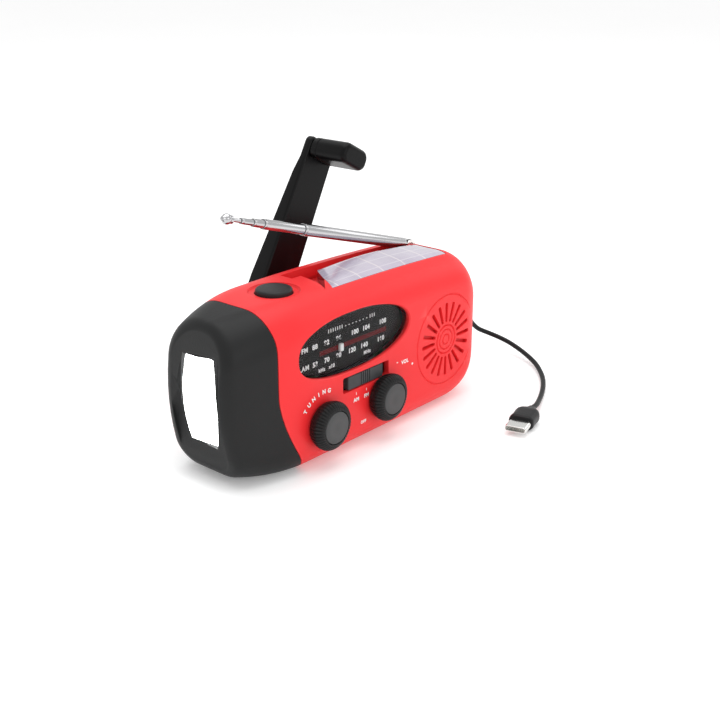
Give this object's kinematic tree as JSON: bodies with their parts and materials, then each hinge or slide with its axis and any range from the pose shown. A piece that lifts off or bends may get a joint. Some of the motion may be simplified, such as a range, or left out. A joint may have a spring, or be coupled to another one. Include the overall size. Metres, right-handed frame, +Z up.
{
  "type": "emergency radio",
  "caption": "Pocket-size emergency radio with a torch end, solar panel, telescopic antenna, folding crank, tuning dial, knobs, loudspeaker and charging lead.",
  "frame": {"origin": "on the flat base, under the middle of the casing's length and depth", "axes": "+X runs from the torch end to the loudspeaker end, -Y is the front with the dial and knobs, +Z is up"},
  "size_m": [0.1724, 0.0964, 0.1011],
  "materials": {
    "red_plastic": "moulded ABS, fine matt texture",
    "charcoal_plastic": "rubberised matt",
    "black_plastic": "moulded, slight sheen",
    "grey_plastic": "moulded, satin",
    "white_plastic": "moulded, satin",
    "cream_plastic": "acetal, natural",
    "clear_plastic": "clear, polished",
    "smoked_plastic": "printed black behind clear, polished",
    "solar_cell": "epoxy covered cells",
    "chrome": "bright plated",
    "steel": "plain",
    "board": "green lacquer",
    "ferrite": "sintered",
    "copper": "enamelled wire",
    "paper": "pressed paper",
    "cell_sleeve": "shrink sleeve",
    "cord_sheath": "soft PVC"
  },
  "bodies": {
    "casing": {"front_shell": "red_plastic", "rear_shell": "red_plastic", "torch_cap": "charcoal_plastic", "case_screw_1": "steel", "case_screw_2": "steel", "case_screw_3": "steel", "case_screw_4": "steel", "torch_lens": "clear_plastic", "reflector": "chrome", "led_1": "white_plastic", "led_2": "white_plastic", "led_3": "white_plastic", "led_board": "board", "button_switch": "black_plastic", "solar_panel": "solar_cell", "antenna_bracket": "steel", "antenna_pin": "steel", "dial_window": "smoked_plastic", "dial_plate": "black_plastic", "tuning_capacitor": "cream_plastic", "volume_pot": "steel", "band_switch": "steel", "speaker_frame": "steel", "speaker_cone": "paper", "speaker_magnet": "ferrite", "main_board": "board", "battery_cell": "cell_sleeve", "ferrite_rod": "ferrite", "aerial_coil": "copper", "usb_socket": "steel", "charge_socket": "steel", "idler_axle": "steel", "dynamo_case": "steel", "lead_plug": "black_plastic", "lead_cord": "cord_sheath", "lead_end_plug": "black_plastic"},
    "torch_button": {"torch_button": "charcoal_plastic"},
    "tuning_knob": {"tuning_knob": "charcoal_plastic", "tuning_knob_cap": "grey_plastic"},
    "volume_knob": {"volume_knob": "charcoal_plastic", "volume_knob_cap": "grey_plastic"},
    "dial_pointer": {"dial_pointer": "white_plastic"},
    "band_slider": {"band_slider": "grey_plastic"},
    "antenna_root": {"antenna_tube_1": "chrome"},
    "antenna_section_2": {"antenna_tube_2": "chrome"},
    "antenna_section_3": {"antenna_tube_3": "chrome"},
    "antenna_section_4": {"antenna_tube_4": "chrome"},
    "antenna_tip": {"antenna_rod": "chrome"},
    "crank_hub": {"crank_hub": "black_plastic", "crank_gear": "cream_plastic", "fold_pin": "steel"},
    "crank_arm": {"crank_arm": "black_plastic", "grip_pin": "steel"},
    "crank_grip": {"crank_grip": "black_plastic"},
    "idler": {"idler_gear": "cream_plastic"},
    "rotor": {"dynamo_rotor": "steel"}
  },
  "joints": [
    {"name": "crank_turn", "type": "hinge", "parent": "casing", "child": "crank_hub", "pos_m": [-0.0108, 0.0218, 0.032], "axis": [0, 1, 0], "range_deg": [-260, 28]},
    {"name": "crank_fold", "type": "hinge", "parent": "crank_hub", "child": "crank_arm", "pos_m": [-0.00799, 0.03, 0.0373], "axis": [-0.8838, 0, 0.4679], "range_deg": [0, 180]},
    {"name": "grip_spin", "type": "hinge", "parent": "crank_arm", "child": "crank_grip", "pos_m": [0.02256, 0.0177, 0.09501], "axis": [0, 1, 0], "continuous": true},
    {"name": "idler_spin", "type": "hinge", "parent": "casing", "child": "idler", "pos_m": [0.0084, 0.0152, 0.032], "axis": [0, 1, 0], "range_deg": [-84.5, 780.5]},
    {"name": "rotor_spin", "type": "hinge", "parent": "casing", "child": "rotor", "pos_m": [0.0244, 0.01, 0.032], "axis": [0, 1, 0], "range_deg": [-2341, 253]},
    {"name": "antenna_lift", "type": "hinge", "parent": "casing", "child": "antenna_root", "pos_m": [0.048, 0.0055, 0.058], "axis": [0, 1, 0], "range_deg": [-12, 100]},
    {"name": "antenna_slide_1", "type": "slide", "parent": "antenna_root", "child": "antenna_section_2", "axis": [-0.9596, 0, 0.2815], "range_m": [-0.0197, 0.025]},
    {"name": "antenna_slide_2", "type": "slide", "parent": "antenna_section_2", "child": "antenna_section_3", "axis": [-0.9596, 0, 0.2815], "range_m": [-0.0045, 0.038]},
    {"name": "antenna_slide_3", "type": "slide", "parent": "antenna_section_3", "child": "antenna_section_4", "axis": [-0.9596, 0, 0.2815], "range_m": [-0.0052, 0.037]},
    {"name": "antenna_slide_4", "type": "slide", "parent": "antenna_section_4", "child": "antenna_tip", "axis": [-0.9596, 0, 0.2815], "range_m": [-0.0033, 0.038]},
    {"name": "button_press", "type": "slide", "parent": "casing", "child": "torch_button", "axis": [0, 0, -1], "range_m": [0, 0.0012], "stiffness_N_per_m": 300, "springref_m": -0.004},
    {"name": "tuning_turn", "type": "hinge", "parent": "casing", "child": "tuning_knob", "pos_m": [-0.0296, -0.0218, 0.0155], "axis": [0, 1, 0], "range_deg": [-73.6, 196.4]},
    {"name": "pointer_slide", "type": "slide", "parent": "casing", "child": "dial_pointer", "axis": [1, 0, 0], "range_m": [-0.0091, 0.0241]},
    {"name": "volume_turn", "type": "hinge", "parent": "casing", "child": "volume_knob", "pos_m": [0.0013, -0.0218, 0.0162], "axis": [0, 1, 0], "range_deg": [-150, 120]},
    {"name": "band_slide", "type": "slide", "parent": "casing", "child": "band_slider", "axis": [1, 0, 0], "range_m": [-0.0024, 0.0024]}
  ],
  "couplings": [
    {"joint": "idler_spin", "follows": "crank_turn", "ratio": -3},
    {"joint": "rotor_spin", "follows": "crank_turn", "ratio": 9},
    {"joint": "pointer_slide", "follows": "tuning_turn", "m_per_rad": 0.0070028}
  ]
}
